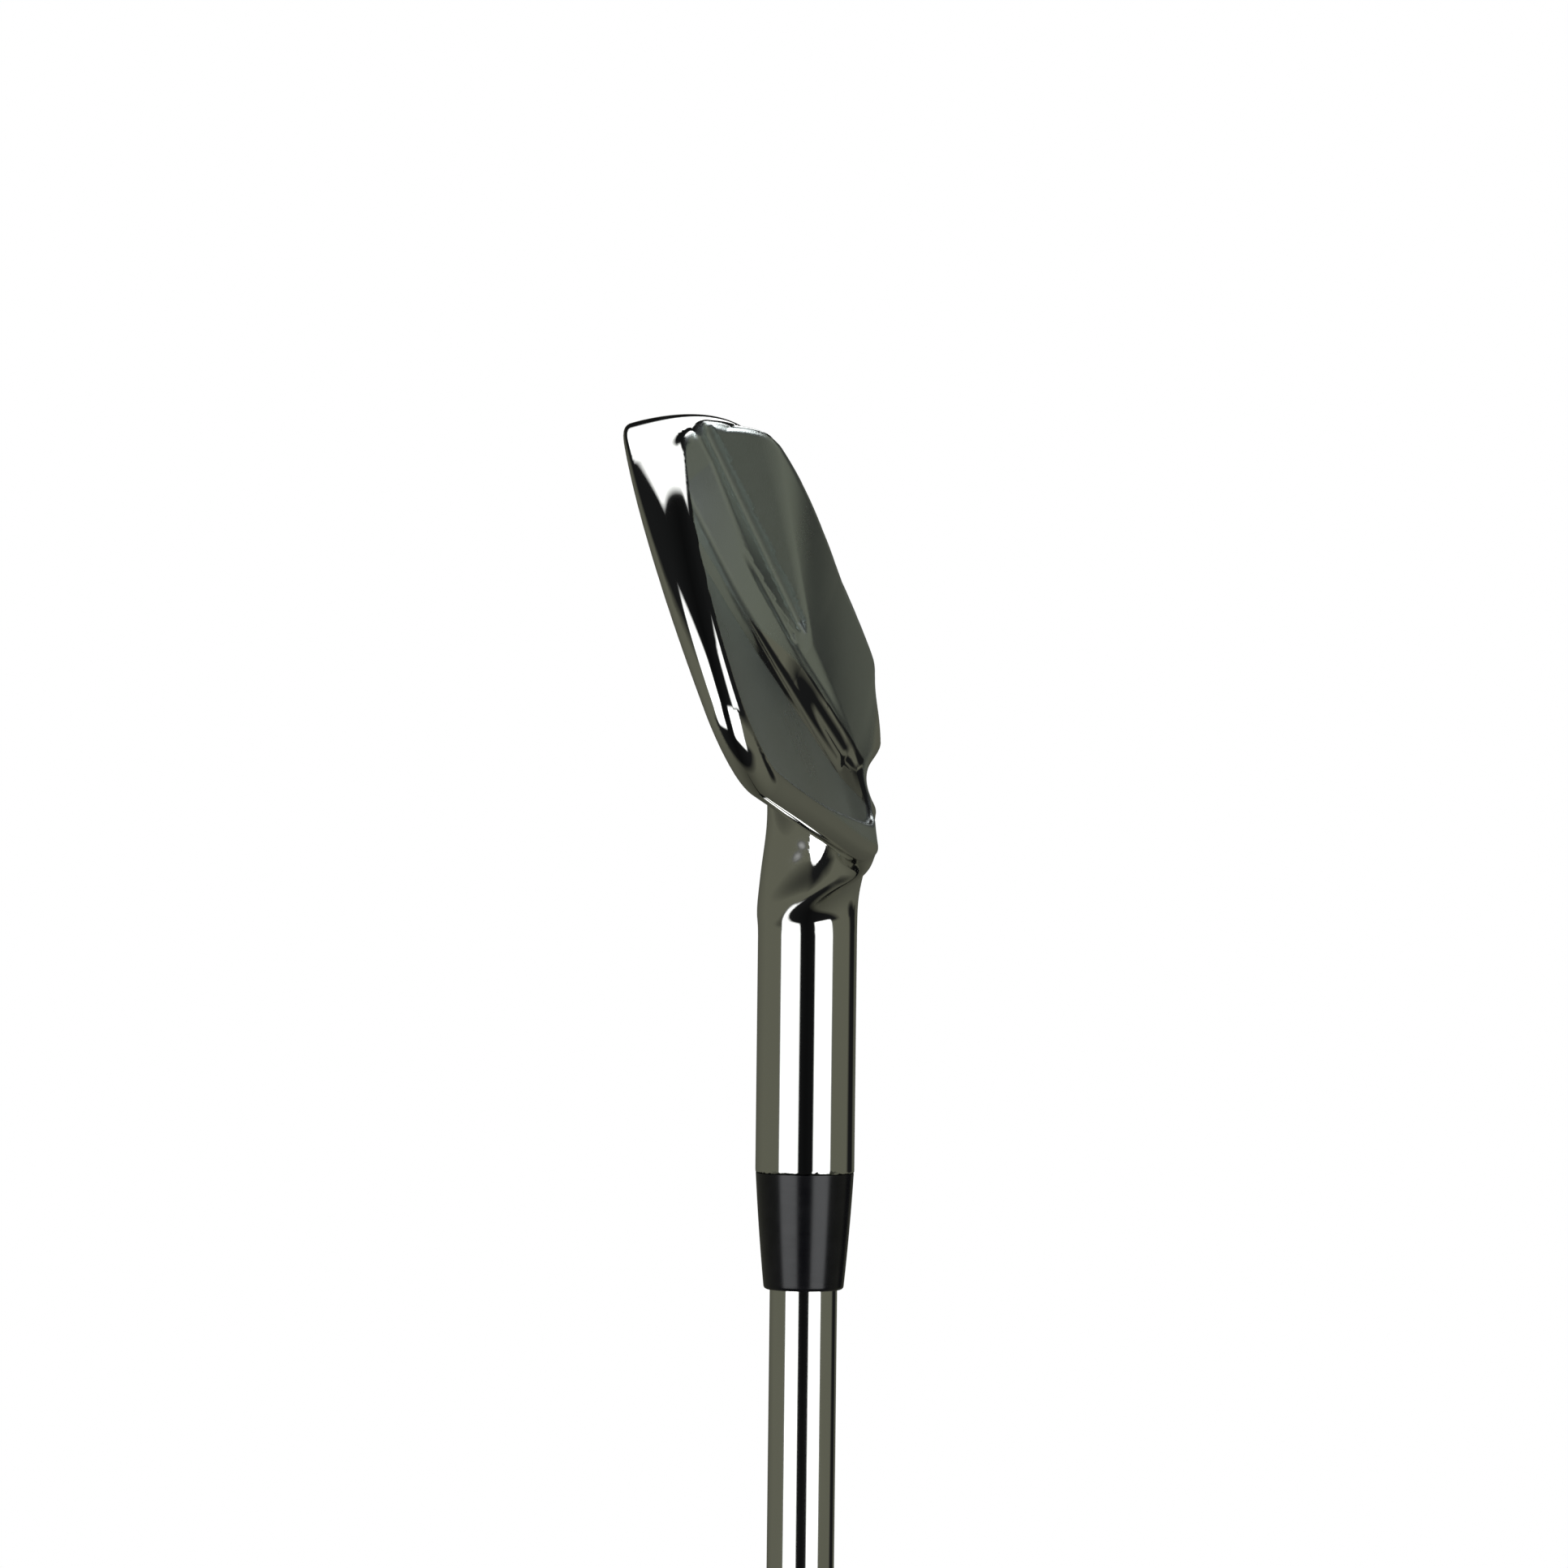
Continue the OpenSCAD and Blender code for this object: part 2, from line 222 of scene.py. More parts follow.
def edge_thickness(v):
    """Thickness of the head at its perimeter, thin at the topline and thick at the sole."""
    sole = SOLE_T * smooth((SOLE_T_V - v) / SOLE_T_RUN)
    return TOP_T + T_PER_V * np.maximum(TOP_V - v, 0) + sole


def crown(v, w):
    """How far the perimeter draws in towards the face and the back."""
    return CROWN * (2 * np.clip(w / edge_thickness(v), 0, 1) - 1) ** 2


def rim_width(u):
    """How wide the rim is, from the outline in to the cavity."""
    return 2.0 + 2.2 * smooth((40 - u) / 45)


def floor_w(u):
    """Height of the cavity's floor above the face, a little more at the toe and the heel."""
    return 4.2 + 0.5 * smooth((u - 45) / 25) + 0.9 * smooth((10 - u) / 12)


def cavity_edge(u, v, w):
    """Distance outside the cavity, in the plane of the blade."""
    out, top, toe = outline(u, v, w)
    cavity = meet(meet(top, toe, TOE_TOP_R) + rim_width(u), CAVITY_HEEL_U - u, CAVITY_HEEL_R)
    return cavity, out + crown(v, w)


def blade(u, v, w):
    cavity, out = cavity_edge(u, v, w)
    bevel = BEVEL_SLOPE * np.clip(-out, 0, BEVEL_W) * smooth((66 - u) / 26)
    thick = TOP_T + T_PER_V * np.maximum(TOP_V - v, 0) * smooth((u - 56) / 14)
    rim = meet(-cavity, w - thick - bevel, RIM_R)
    back = join(w - floor_w(u), rim, FLOOR_R)
    back = join(back, muscle(u, v, w), MUSCLE_R)
    return meet(meet(out, back, BACK_EDGE_R), -w, FACE_EDGE_R)


def neck(x, y, z):
    """The solid between the round hosel and the blade; z is measured from the ground."""
    dx, dz = TURN_X - x, z - TURN_Z
    turned = np.clip(np.arctan2(dz, dx), 0, LIE)
    reach = dx * np.cos(turned) + dz * np.sin(turned)
    k = smooth((turned / LIE - NECK_HOLD) / (1 - NECK_HOLD))
    q = np.clip((reach - TURN_R) / mix(2 * HOSEL_R, NECK_REACH, turned / LIE), 0, 1)
    # Middle and half thickness where the neck reaches the blade, from the topline to the sole.
    mid = 11.8 - 10.6 * q + 1.6 * q * q
    half = 2.5 + 1.2 * q + 2.9 * q * q
    thick = mix(HOSEL_R, half, k)
    outer = np.where(z < HEEL_XZ[1], -x - HOSEL_R,
                     np.hypot(x - HEEL_XZ[0], z - HEEL_XZ[1]) - HEEL_R)
    span = np.maximum(outer, TURN_R - reach)
    edge_r = np.minimum(thick, mix(HOSEL_R, NECK_EDGE_R, k))
    turn = meet(span, np.abs(y - k * mid) - thick, edge_r)
    core = np.hypot(x, y - CORE_SHIFT * smooth((z - CORE_SHIFT_Z) / CORE_SHIFT_RUN))
    core = np.where(z < CORE_Z, core, np.hypot(core, z - CORE_Z)) - HOSEL_R
    front = smooth((BLEND_BACK_Y - y) / (BLEND_BACK_Y - BLEND_FRONT_Y))
    blend_r = BLEND_R * smooth((z - TURN_Z) / BLEND_RUN) * front
    return np.maximum(join(turn, core, blend_r), np.maximum(outer, -HOSEL_R - y))


def head_field(u, v, w):
    p = np.stack([u, v, w], -1) @ BLADE + ORIGIN
    x, y, z = p[..., 0], p[..., 1], p[..., 2] - CLUB_LENGTH
    solid = mix(neck(x, y, z), blade(u, v, w), smooth((u - BLADE_FROM_U) / BLADE_RUN))
    notch_v = NOTCH_V + NOTCH_V_PER_U * (u - TURN_U)
    notch_w = NOTCH_W + NOTCH_R + NOTCH_W_PER_U * (u - TURN_U)
    notch = np.hypot(v - notch_v, w - notch_w) - NOTCH_R
    solid = meet(solid, -notch, NOTCH_EDGE_R)
    solid = meet(solid, (MOUTH_Z - CLUB_LENGTH) - z, MOUTH_EDGE_R)
    bore = np.maximum(np.hypot(x, y) - BORE_R, z - (BORE_END_Z - CLUB_LENGTH))
    return np.maximum(solid, -bore)


# Score lines, cut across the face.
SCORE_LINES, SCORE_PITCH, SCORE_FROM_V = 13, 3.6, 6.0
SCORE_HEEL_U, SCORE_TOE_U, SCORE_INSET = 12, 62, 5
SCORE_R, SCORE_LIFT, SCORE_EDGE_R = 0.55, 0.15, 0.08


def score_cut(u, v, w):
    row = np.clip(np.round((v - SCORE_FROM_V) / SCORE_PITCH), 0, SCORE_LINES - 1)
    at_v = SCORE_FROM_V + row * SCORE_PITCH
    start = (at_v + SCORE_INSET - topline_v(0)) / math.tan(TOP_SLOPE)
    ends = np.maximum(np.maximum(SCORE_HEEL_U, start) - u, u - SCORE_TOE_U)
    return np.maximum(np.hypot(v - at_v, w + SCORE_LIFT) - SCORE_R, ends)


def club_head(u, v, w):
    return meet(head_field(u, v, w), -score_cut(u, v, w), SCORE_EDGE_R)


# ---------------------------------------------------------------- mesh making

def surface_net(field, low, high, cell):
    """Quads of a surface net over a box, with its points drawn onto the surface."""
    axes = [np.arange(a, b + cell, cell) for a, b in zip(low, high)]
    value = np.empty([len(a) for a in axes], np.float32)
    slab = 24
    for i in range(0, len(axes[0]), slab):
        u, v, w = np.meshgrid(axes[0][i:i + slab], axes[1], axes[2], indexing="ij")
        value[i:i + slab] = field(u, v, w)
    inside = value < 0
    shape = np.array(value.shape) - 1
    corners = [(i, j, k) for i in (0, 1) for j in (0, 1) for k in (0, 1)]
    count = sum(inside[i:i + shape[0], j:j + shape[1], k:k + shape[2]].astype(np.int8)
                for i, j, k in corners)
    mixed = (count > 0) & (count < 8)
    index = np.full(mixed.shape, -1, np.int64)
    index[mixed] = np.arange(mixed.sum())
    base = np.argwhere(mixed)
    total = np.zeros((len(base), 3))
    hits = np.zeros(len(base))
    for axis in range(3):
        step = np.eye(3, dtype=int)[axis]
        others = [a for a in range(3) if a != axis]
        for c0 in (0, 1):
            for c1 in (0, 1):
                start = base.copy()
                start[:, others[0]] += c0
                start[:, others[1]] += c1
                f0 = value[tuple(start.T)]
                f1 = value[tuple((start + step).T)]
                cut = (f0 < 0) != (f1 < 0)
                t = np.where(cut, f0 / np.where(cut, f0 - f1, 1), 0)
                total[cut] += (start + t[:, None] * step)[cut]
                hits += cut
    points = np.array(low) + total / hits[:, None] * cell
    quads = []
    for axis in range(3):
        a1, a2 = (axis + 1) % 3, (axis + 2) % 3
        step = np.eye(3, dtype=int)
        here = [slice(1, -1)] * 3
        here[axis] = slice(0, -1)
        there = list(here)
        there[axis] = slice(1, None)
        first, second = inside[tuple(here)], inside[tuple(there)]
        for flip, where in ((False, first & ~second), (True, ~first & second)):
            cells = np.argwhere(where)
            cells += np.array([0 if a == axis else 1 for a in range(3)])
            ring = [cells, cells - step[a1], cells - step[a1] - step[a2], cells - step[a2]]
            quad = np.stack([index[tuple(r.T)] for r in ring], 1)
            quads.append(quad[:, ::-1] if flip else quad)
    return draw_on(field, points, cell), np.vstack(quads)


def slope_of(field, p, h=0.02):
    """The field's gradient at each point."""
    columns = []
    for axis in range(3):
        step = np.zeros(3)
        step[axis] = h
        a, b = p + step, p - step
        columns.append((field(*a.T) - field(*b.T)) / (2 * h))
    return np.stack(columns, 1)


def draw_on(field, p, cell):
    """Newton steps along the slope, no further than half a cell each."""
    for _ in range(3):
        g = slope_of(field, p)
        move = (field(*p.T) / np.maximum((g * g).sum(1), 0.25))[:, None] * g
        length = np.linalg.norm(move, axis=1, keepdims=True)
        p = p - move * np.minimum(1, 0.5 * cell / np.maximum(length, 1e-9))
    return p


def as_object(name, points_mm, faces, material, sharp=None):
    mesh = bpy.data.meshes.new(name)
    mesh.from_pydata((np.asarray(points_mm) * MM).tolist(), [], [list(map(int, f)) for f in faces])
    mesh.validate()
    mesh.materials.append(material)
    mesh.shade_smooth()
    if sharp is not None:
        mesh.set_sharp_from_angle(angle=math.radians(sharp))
    piece = bpy.data.objects.new(name, mesh)
    bpy.context.scene.collection.objects.link(piece)
    return piece


def lathe(profile, sides, swell=None):
    """Points and quads of a closed profile of (radius, z) turned about the shaft's axis."""
    profile = np.asarray(profile, float)
    angle = np.arange(sides) * 2 * math.pi / sides
    r = np.repeat(profile[:, :1], sides, 1)
    z = np.repeat(profile[:, 1:], sides, 1)
    if swell is not None:
        r = swell(r, z, np.broadcast_to(angle, r.shape))
    points = np.stack([r * np.cos(angle), r * np.sin(angle), z], -1).reshape(-1, 3)
    rows = len(profile)
    i, j = np.meshgrid(np.arange(rows), np.arange(sides), indexing="ij")
    i2, j2 = (i + 1) % rows, (j + 1) % sides
    quads = np.stack([i * sides + j, i * sides + j2, i2 * sides + j2, i2 * sides + j], -1)
    return points, quads.reshape(-1, 4)


# ---------------------------------------------------------------- materials

class Nodes:
    """A short way to write a material's node tree."""

    def __init__(self, name):
        self.material = bpy.data.materials.new(name)
        self.material.use_nodes = True
        self.tree = self.material.node_tree
        self.shader = self.tree.nodes["Principled BSDF"]

    def add(self, kind, values=None, **inputs):
        node = self.tree.nodes.new(kind)
        for key, value in (values or {}).items():
            setattr(node, key, value)
        for key, value in inputs.items():
            self.put(node.inputs[key.replace("_", " ")], value)
        return node

    def put(self, socket, value):
        if isinstance(value, bpy.types.NodeSocket):
            self.tree.links.new(value, socket)
        else:
            socket.default_value = value

    def set(self, **inputs):
        for key, value in inputs.items():
            self.put(self.shader.inputs[key.replace("_", " ")], value)

    def coords(self, scale=(1, 1, 1)):
        source = self.add("ShaderNodeTexCoord")
        mapping = self.add("ShaderNodeMapping", Vector=source.outputs["Object"], Scale=scale)
        return mapping.outputs["Vector"]

    def noise(self, vector, scale, detail=3.0, roughness=0.55):
        node = self.add("ShaderNodeTexNoise", Vector=vector, Scale=scale, Detail=detail,
                        Roughness=roughness)
        return node.outputs["Fac"]

    def ramp(self, value, low, high, to_low=0.0, to_high=1.0):
        node = self.add("ShaderNodeMapRange", Value=value, From_Min=low, From_Max=high,
                        To_Min=to_low, To_Max=to_high)
        return node.outputs["Result"]

    def math(self, operation, a, b=0.0):
        node = self.add("ShaderNodeMath", {"operation": operation})
        self.put(node.inputs[0], a)
        self.put(node.inputs[1], b)
        return node.outputs["Value"]

    def blend(self, factor, a, b):
        node = self.add("ShaderNodeMix", {"data_type": "RGBA"})
        self.put(node.inputs["Factor"], factor)
        self.put(node.inputs[6], a)
        self.put(node.inputs[7], b)
        return node.outputs[2]

    def attribute(self, name):
        return self.add("ShaderNodeAttribute", {"attribute_name": name}).outputs["Fac"]

    def bump(self, height, distance, strength=1.0, normal=None):
        node = self.add("ShaderNodeBump", Height=height, Distance=distance, Strength=strength)
        if normal is not None:
            self.put(node.inputs["Normal"], normal)
        return node.outputs["Normal"]


def chrome_head():
    """Mirror chrome with a faint waviness, satin where the satin attribute says."""
    n = Nodes("chrome_head")
    satin = n.attribute("satin")
    at = n.coords()
    grain = n.noise(at, 5200, 2)
    cloud = n.noise(at, 60, 3)
    peel = n.noise(at, 420, 1)
    rough = n.ramp(cloud, 0.3, 0.7, 0.035, 0.065)
    dull = n.ramp(cloud, 0.3, 0.7, 0.27, 0.31)
    roughness = n.math("ADD", n.math("MULTIPLY", satin, dull),
                       n.math("MULTIPLY", n.math("SUBTRACT", 1.0, satin), rough))
    bright = (0.66, 0.66, 0.63, 1)
    soft = (0.66, 0.72, 0.71, 1)
    n.set(Metallic=1.0, Roughness=roughness, Base_Color=n.blend(satin, bright, soft))
    height = n.math("MULTIPLY", grain, satin)
    fine = n.bump(height, 0.00004, 0.5)
    n.set(Normal=n.bump(peel, 0.00001, 0.15, fine))
    return n.material


def chrome_shaft():
    """Plated steel with very fine polishing lines round the tube."""
    n = Nodes("chrome_shaft")
    rings = n.noise(n.coords((1, 1, 60)), 90, 2)
    cloud = n.noise(n.coords((1, 1, 0.2)), 120, 3)
    n.set(Metallic=1.0, Base_Color=n.blend(n.ramp(cloud, 0.35, 0.65), (0.64, 0.64, 0.61, 1),
                                           (0.69, 0.69, 0.66, 1)))
    n.set(Roughness=n.ramp(cloud, 0.3, 0.7, 0.05, 0.085), Normal=n.bump(rings, 0.000004, 0.25))
    return n.material


def turned_plastic():
    """Black cellulose with the lathe's fine lines."""
    n = Nodes("ferrule_plastic")
    lines = n.noise(n.coords((1, 1, 40)), 220, 3, 0.7)
    cloud = n.noise(n.coords(), 260, 3)
    n.set(Base_Color=n.blend(n.ramp(cloud, 0.4, 0.7), (0.003, 0.003, 0.004, 1),
                             (0.006, 0.006, 0.007, 1)))
    n.set(Roughness=n.ramp(lines, 0.3, 0.7, 0.15, 0.26), Normal=n.bump(lines, 0.00001, 0.4))
    n.set(Specular_IOR_Level=0.32)
    return n.material


def grip_rubber():
    n = Nodes("grip_rubber")
    groove = n.attribute("groove")
    at = n.coords()
    grain = n.noise(at, 3000, 3)
    cloud = n.noise(at, 90, 4)
    base = n.blend(n.ramp(cloud, 0.35, 0.7), (0.016, 0.016, 0.017, 1), (0.028, 0.028, 0.029, 1))
    n.set(Base_Color=n.blend(n.math("MULTIPLY", groove, 0.6), base, (0.045, 0.043, 0.04, 1)))
    n.set(Roughness=n.ramp(cloud, 0.3, 0.7, 0.62, 0.8), Normal=n.bump(grain, 0.00006, 0.6))
    return n.material


def cap_rubber():
    n = Nodes("cap_rubber")
    at = n.coords()
    grain = n.noise(at, 2600, 3)
    cloud = n.noise(at, 140, 4)
    n.set(Base_Color=n.blend(n.ramp(cloud, 0.35, 0.7), (0.018, 0.018, 0.019, 1),
                             (0.036, 0.035, 0.035, 1)))
    n.set(Roughness=n.ramp(cloud, 0.3, 0.7, 0.5, 0.7), Normal=n.bump(grain, 0.00005, 0.6))
    return n.material


def dried_epoxy():
    n = Nodes("dried_epoxy")
    cloud = n.noise(n.coords(), 500, 4)
    n.set(Base_Color=n.blend(n.ramp(cloud, 0.3, 0.7), (0.55, 0.42, 0.18, 1), (0.72, 0.6, 0.32, 1)))
    n.set(Roughness=n.ramp(cloud, 0.3, 0.7, 0.15, 0.4), Normal=n.bump(cloud, 0.00005, 0.4))
    return n.material


def turned_brass():
    n = Nodes("turned_brass")
    lines = n.noise(n.coords((1, 1, 40)), 200, 3)
    n.set(Metallic=1.0, Base_Color=n.blend(n.ramp(lines, 0.3, 0.7), (0.62, 0.42, 0.15, 1),
                                           (0.75, 0.54, 0.22, 1)))
    n.set(Roughness=n.ramp(lines, 0.3, 0.7, 0.22, 0.38), Normal=n.bump(lines, 0.00002, 0.5))
    return n.material


def masking_tape():
    n = Nodes("masking_tape")
    crepe = n.noise(n.coords((1, 1, 8)), 500, 4)
    n.set(Base_Color=n.blend(n.ramp(crepe, 0.3, 0.7), (0.62, 0.55, 0.38, 1), (0.75, 0.69, 0.52, 1)))
    n.set(Roughness=n.ramp(crepe, 0.3, 0.7, 0.7, 0.9), Normal=n.bump(crepe, 0.00006, 0.7))
    return n.material


# ---------------------------------------------------------------- pieces

def satin_mask(p, normal):
    """1 on the blasted surfaces: cavity floor, muscle back, bevel land and face."""
    u, v, w = p.T
    cavity, out = cavity_edge(u, v, w)
    inner, shelf = back_lines(u)[:2]
    on_blade = smooth((u + 6) / 3)
    floor = smooth((-cavity - 0.2) / 0.4) * smooth((v - inner[0] - 0.3) / 0.4)
    back = smooth((shelf[0] - v) / 0.3) * smooth((-out - 0.1) / 0.4)
    land = smooth((cavity + 0.3) / 0.3) * smooth((-out - 0.7) / 0.3) * smooth((69 - u) / 2)
    face = smooth((0.9 - w) / 0.2) * smooth((-normal[:, 2] - 0.8) / 0.1)
    face = face * smooth((-out - 1.2) / 0.3)
    rear = np.maximum(np.maximum(floor, land) * smooth((normal[:, 2] - 0.3) / 0.2),
                      back * smooth((normal[:, 1] + normal[:, 2]) / 0.1))
    return np.clip(np.maximum(rear * smooth((w - 2.5) / 0.5), face) * on_blade, 0, 1)


def make_head():
    points, quads = surface_net(club_head, HEAD_LOW, HEAD_HIGH, CELL)
    normal = slope_of(club_head, points)
    normal /= np.linalg.norm(normal, axis=1, keepdims=True)
    piece = as_object("club_head", points @ BLADE + ORIGIN, quads, chrome_head())
    mesh = piece.data
    mesh.attributes.new("satin", "FLOAT", "POINT").data.foreach_set(
        "value", satin_mask(points, normal).astype(np.float32))
    mesh.normals_split_custom_set_from_vertices((normal @ BLADE).tolist())
    return piece


def ferrule_profile():
    """Starts flush with the hosel and ends in a small round over the shaft."""
    length, end_r, bore, lip, gap, step = 16.2, 5.6, 4.7, 0.5, 0.02, 0.06
    outer = []
    for s in np.linspace(0, 1, 40):
        r = mix(HOSEL_R - step, end_r, 0.72 * s + 0.28 * s * s)
        outer.append((r, MOUTH_Z - gap - s * (length - lip)))
    end_z = MOUTH_Z - length
    for a in np.linspace(0, math.pi / 2, 7)[1:]:
        outer.append((end_r - lip + lip * math.cos(a), end_z + lip - lip * math.sin(a)))
    return outer + [(bore, end_z), (bore, MOUTH_Z - gap)]


def make_ferrule():
    points, quads = lathe(ferrule_profile(), 192)
    return as_object("ferrule_body", points, quads, turned_plastic(), 40)


SHAFT_TIP_R, SHAFT_BUTT_R, SHAFT_WALL = 4.7, 7.6, 0.65
SHAFT_STEPS, STEP_PITCH, FIRST_STEP_Z = 13, 36.0, 682.8
SHAFT_TIP_Z, SHAFT_BUTT_Z = 912.8, 3.4
STEP_H = (SHAFT_BUTT_R - SHAFT_TIP_R) / SHAFT_STEPS
STEP_SLOPE = 0.8


def shaft_edge(inset):
    """Radius and height from the butt to the tip; each step is a soft shoulder."""
    edge = [(SHAFT_BUTT_R - inset, SHAFT_BUTT_Z)]
    for i in range(SHAFT_STEPS - 1, -1, -1):
        z = FIRST_STEP_Z - i * STEP_PITCH
        r = SHAFT_TIP_R + i * STEP_H - inset
        for t in np.linspace(0, 1, 6):
            edge.append((r + STEP_H * (1 - smooth(t)), z - STEP_SLOPE * (1 - t)))
    edge.append((SHAFT_TIP_R - inset, SHAFT_TIP_Z))
    return edge


def make_shaft():
    profile = shaft_edge(0)[::-1] + shaft_edge(SHAFT_WALL)
    points, quads = lathe(profile, 192)
    return as_object("shaft_tube", points, quads, chrome_shaft(), 30)


GRIP_END_Z, CAP_T = 267.0, 3.4
GRIP_BUTT_R, GRIP_MOUTH_R, GRIP_LIP_R = 13.3, 8.6, 1.2
GRIP_TAPER, GRIP_CURVE = 0.68, 0.9
TAPE_R, TAPE_END_Z = 7.85, 236.0
TREAD_TURNS, TREAD_PITCH, TREAD_DEPTH, TREAD_MARGIN = 12, 9.0, 0.38, 16
COLLARS = (8.0, 12.0, GRIP_END_Z - 6, GRIP_END_Z - 10, GRIP_END_Z - 14)


def grip_r(t):
    """Outer radius of the grip at a share t of its length; it thins fastest near the butt."""
    return mix(GRIP_BUTT_R, GRIP_MOUTH_R, mix(t, np.power(t, GRIP_TAPER), GRIP_CURVE))


def tread(z, angle):
    """Depth share of the moulded tread: crossed slanted grooves between two plain collars."""
    turns = angle / (2 * math.pi) * TREAD_TURNS
    rise = z / TREAD_PITCH
    lines = [np.abs((turns + s * rise) % 1 - 0.5) for s in (1, -1)]
    groove = 1 - smooth((np.minimum(*lines) - 0.05) / 0.07)
    inside = smooth((z - TREAD_MARGIN) / 2) * smooth((GRIP_END_Z - TREAD_MARGIN - 2 - z) / 2)
    collar = sum(1 - smooth((np.abs(z - at) - 0.35) / 0.4) for at in COLLARS)
    return np.clip(groove * inside + collar, 0, 1)


def make_grip():
    bare_r = SHAFT_BUTT_R - STEP_H
    last_step = FIRST_STEP_Z - (SHAFT_STEPS - 1) * STEP_PITCH
    near = GRIP_END_Z - GRIP_LIP_R
    side = [(grip_r(t), mix(CAP_T, near, t)) for t in np.linspace(0, 1, 460)]
    lip = [(GRIP_MOUTH_R - GRIP_LIP_R + GRIP_LIP_R * math.cos(a), near + GRIP_LIP_R * math.sin(a))
           for a in np.linspace(0, math.pi / 2, 6)[1:]]
    inside = [(bare_r, GRIP_END_Z), (bare_r, last_step), (SHAFT_BUTT_R, last_step - STEP_SLOPE),
              (SHAFT_BUTT_R, TAPE_END_Z), (TAPE_R, TAPE_END_Z), (TAPE_R, CAP_T)]
    outer = slice(-len(side), None)

    def press(r, z, angle):
        r[outer] -= TREAD_DEPTH * tread(z[outer], angle[outer])
        return r

    points, quads = lathe((side + lip + inside)[::-1], 144, press)
    piece = as_object("grip_rubber_sleeve", points, quads, grip_rubber(), 50)
    x, y, z = points.T
    groove = np.where(np.hypot(x, y) > TAPE_R + 0.1, tread(z, np.arctan2(y, x)), 0)
    piece.data.attributes.new("groove", "FLOAT", "POINT").data.foreach_set(
        "value", groove.astype(np.float32))
    return piece


def make_cap():
    vent, round_r, ring_r, ring_h = 1.6, 2.6, 8.6, 0.35
    edge = [(GRIP_BUTT_R - round_r + round_r * math.sin(a), round_r - round_r * math.cos(a))
            for a in np.linspace(0, math.pi / 2, 12)]
    flat = []
    for r in np.linspace(vent + 0.4, GRIP_BUTT_R - round_r - 0.3, 60):
        ring = 1 - smooth((abs(r - ring_r) - 0.25) / 0.3)
        flat.append((r, ring_h * ring))
    profile = [(vent, ring_h)] + flat + edge + [(GRIP_BUTT_R, CAP_T), (vent, CAP_T)]
    points, quads = lathe(profile[::-1], 160)
    return as_object("grip_end_cap", points, quads, cap_rubber(), 40)


def dress(node, material):
    """Gives a CAD node that stays in view its material."""
    for slot in bpy.data.objects[node].material_slots:
        slot.material = material


PIECES = [(make_head, "forged_head"), (make_ferrule, "ferrule"), (make_shaft, "shaft"),
          (make_grip, "grip_sleeve"), (make_cap, "grip_cap")]
for make, node in PIECES:
    piece = make()
    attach(piece, "root")
    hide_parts(node)

dress("hosel_epoxy", dried_epoxy())
dress("tip_weight", turned_brass())
dress("grip_tape", masking_tape())


# ---------------------------------------------------------------- studio

# Places in the studio are metres.
VIEW = math.radians(21.3)
TO_CAMERA = Vector((math.cos(VIEW), math.sin(VIEW), 0))
RIGHT = Vector((-math.sin(VIEW), math.cos(VIEW), 0))
UP = Vector((0, 0, 1))
EYE = 0.860 * TO_CAMERA - 0.003514 * RIGHT + 0.93467 * UP
ROLL = 0.0115
LENS = 141.8
HEAD_MIDDLE = Vector((0, 0, 0.93))
ROOM_TONE, DARK_TONE = (0.120, 0.122, 0.094, 1), (0.010, 0.0105, 0.011, 1)
ROOM_GLOW, SIDE_GLOW = 0.55, 1.3
FLOOR_SIDE, FADE_FROM, FADE_TO = 2400, 0.35, 1.15


def make_camera():
    camera = bpy.data.objects.new("camera", bpy.data.cameras.new("camera"))
    camera.data.sensor_width = 36
    camera.data.lens = LENS
    right = (RIGHT + ROLL * UP).normalized()
    up = (UP - ROLL * RIGHT).normalized()
    turn = Matrix((right, up, TO_CAMERA)).transposed().to_4x4()
    camera.matrix_world = Matrix.Translation(EYE) @ turn
    bpy.context.scene.collection.objects.link(camera)
    bpy.context.scene.camera = camera


def rectangle(width, depth, z=0):
    """Corners of a level rectangle about the axis, in millimetres."""
    return [(x * width / 2, y * depth / 2, z) for x, y in ((-1, -1), (1, -1), (1, 1), (-1, 1))]


def softbox(name, around, lift, distance, size, glow):
    """A glowing panel seen from the head at an angle round from the camera and a lift above it."""
    n = Nodes(name + "_cloth")
    n.tree.nodes.remove(n.shader)
    place = n.add("ShaderNodeSeparateXYZ", Vector=n.coords())
    fall = []
    for axis, length in zip("XY", size):
        off = n.math("ABSOLUTE", place.outputs[axis])
        fall.append(n.ramp(off, 0.36 * length, 0.5 * length, 1.0, 0.0))
    glow = n.math("MULTIPLY", n.math("MULTIPLY", fall[0], fall[1]), glow)
    cloth = n.add("ShaderNodeEmission", Color=(0.97, 0.985, 1.0, 1), Strength=glow)
    sheet = n.tree.nodes["Material Output"]
    n.tree.links.new(cloth.outputs["Emission"], sheet.inputs["Surface"])
    corners = rectangle(size[0] / MM, size[1] / MM)
    panel = as_object(name, corners, [(0, 1, 2, 3)], n.material)
    side, rise = math.radians(around), math.radians(lift)
    away = math.cos(rise) * (math.cos(side) * TO_CAMERA + math.sin(side) * RIGHT)
    away += math.sin(rise) * UP
    turn = away.to_track_quat("Z", "Y").to_matrix().to_4x4()
    panel.matrix_world = Matrix.Translation(HEAD_MIDDLE + distance * away) @ turn
    panel.visible_camera = False
    panel.visible_shadow = False


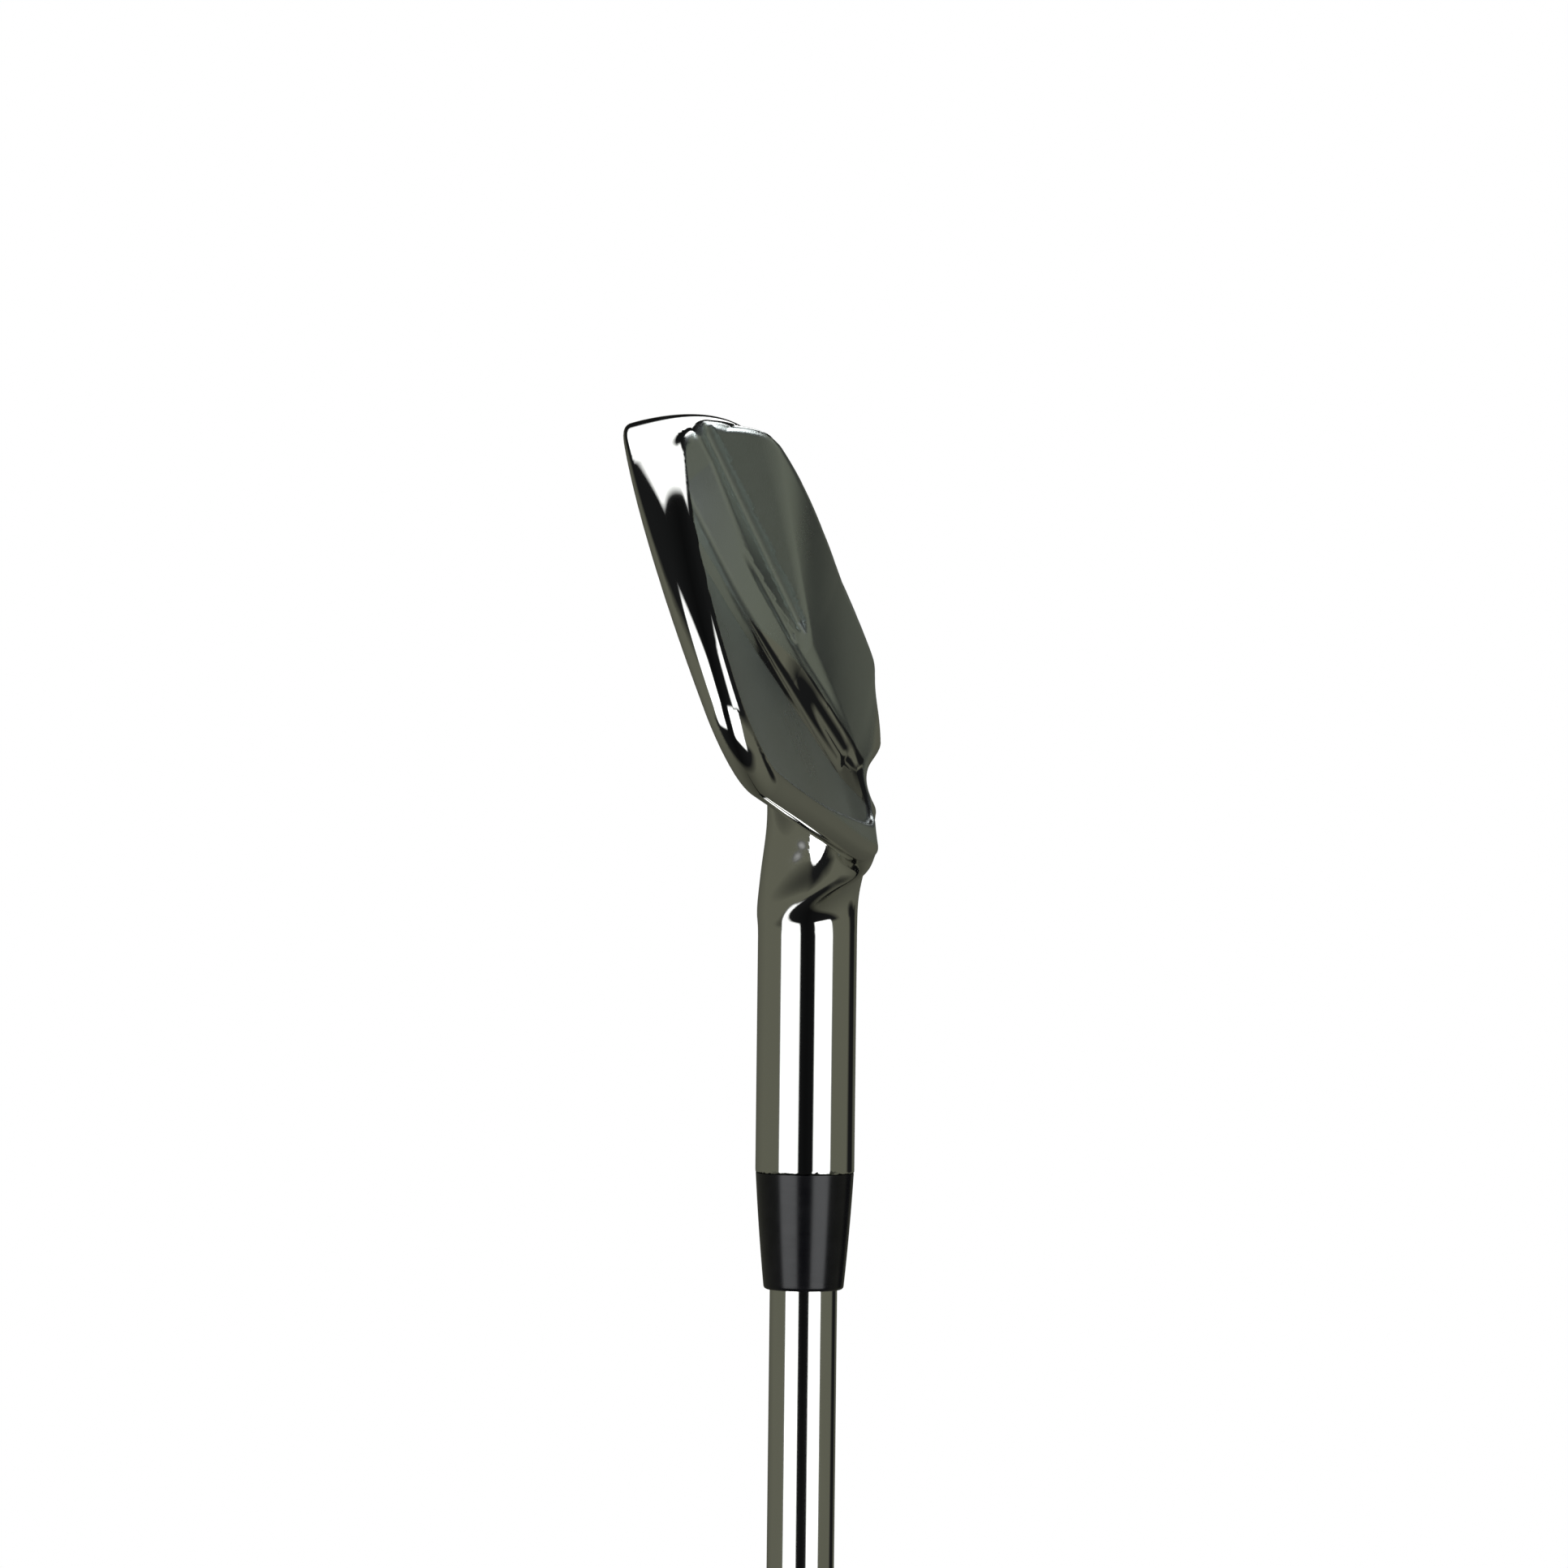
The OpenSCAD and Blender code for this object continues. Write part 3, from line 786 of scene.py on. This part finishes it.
def make_world():
    """White to the camera; to the metal a dim olive room with darker zones."""
    world = bpy.data.worlds.new("studio")
    world.use_nodes = True
    bpy.context.scene.world = world
    tree = world.node_tree
    tree.nodes.clear()
    link = tree.links.new
    coord = tree.nodes.new("ShaderNodeTexCoord")

    def along(axis, low, high):
        """0 below low and 1 above high, for the part of the direction along an axis."""
        dot = tree.nodes.new("ShaderNodeVectorMath")
        dot.operation = "DOT_PRODUCT"
        dot.inputs[1].default_value = axis
        link(coord.outputs["Generated"], dot.inputs[0])
        ramp = tree.nodes.new("ShaderNodeMapRange")
        ramp.inputs["From Min"].default_value = low
        ramp.inputs["From Max"].default_value = high
        link(dot.outputs["Value"], ramp.inputs["Value"])
        return ramp.outputs["Result"]

    def combine(operation, a, b):
        node = tree.nodes.new("ShaderNodeMath")
        node.operation = operation
        link(a, node.inputs[0])
        link(b, node.inputs[1])
        return node.outputs["Value"]

    front = along(TO_CAMERA, 0.45, 0.60)
    over = along(UP, 0.10, 0.30)
    under = combine("MULTIPLY", along(-UP, 0.20, 0.35), along(TO_CAMERA, 0.0, 0.25))
    behind = along(0.77 * RIGHT - 0.63 * TO_CAMERA - 0.06 * UP, 0.95, 0.985)
    dark = front
    for zone in (over, under, behind):
        dark = combine("MAXIMUM", dark, zone)
    sides = combine("MAXIMUM", along(RIGHT, 0.0, 0.9), along(-RIGHT, 0.0, 0.9))
    strength = tree.nodes.new("ShaderNodeMapRange")
    strength.inputs["To Min"].default_value = ROOM_GLOW
    strength.inputs["To Max"].default_value = SIDE_GLOW
    link(sides, strength.inputs["Value"])
    tone = tree.nodes.new("ShaderNodeMix")
    tone.data_type = "RGBA"
    link(dark, tone.inputs["Factor"])
    tone.inputs[6].default_value = ROOM_TONE
    tone.inputs[7].default_value = DARK_TONE
    seen = tree.nodes.new("ShaderNodeBackground")
    seen.inputs["Color"].default_value = (1, 1, 1, 1)
    lit = tree.nodes.new("ShaderNodeBackground")
    link(tone.outputs[2], lit.inputs["Color"])
    link(strength.outputs["Result"], lit.inputs["Strength"])
    path = tree.nodes.new("ShaderNodeLightPath")
    either = tree.nodes.new("ShaderNodeMixShader")
    link(path.outputs["Is Camera Ray"], either.inputs["Fac"])
    link(lit.outputs["Background"], either.inputs[1])
    link(seen.outputs["Background"], either.inputs[2])
    out = tree.nodes.new("ShaderNodeOutputWorld")
    link(either.outputs["Shader"], out.inputs["Surface"])


def make_floor():
    """Pale paint that fades out away from the club."""
    n = Nodes("floor_paint")
    cloud = n.noise(n.coords(), 6, 3)
    n.set(Base_Color=n.blend(cloud, (0.80, 0.80, 0.79, 1), (0.84, 0.84, 0.83, 1)))
    n.set(Roughness=n.ramp(cloud, 0.3, 0.7, 0.75, 0.85))
    place = n.add("ShaderNodeSeparateXYZ", Vector=n.coords())
    out = [n.math("MULTIPLY", place.outputs[axis], place.outputs[axis]) for axis in "XY"]
    n.set(Alpha=n.ramp(n.math("SQRT", n.math("ADD", *out)), FADE_FROM, FADE_TO, 1.0, 0.0))
    corners = rectangle(FLOOR_SIDE, FLOOR_SIDE, -1)
    floor = as_object("studio_floor", corners, [(0, 1, 2, 3)], n.material)
    floor.visible_glossy = False


make_camera()
make_world()
make_floor()
softbox("softbox_left", -40, 4, 1.6, (1.5, 1.9), 3.2)
softbox("softbox_right", 39.5, -2, 1.6, (1.35, 1.6), 3.2)
softbox("softbox_right_wing", 62, 33, 1.6, (1.0, 0.7), 1.8)
softbox("softbox_top", -165, 63, 1.5, (2.3, 1.75), 3.0)
bpy.context.scene.view_settings.view_transform = "Standard"
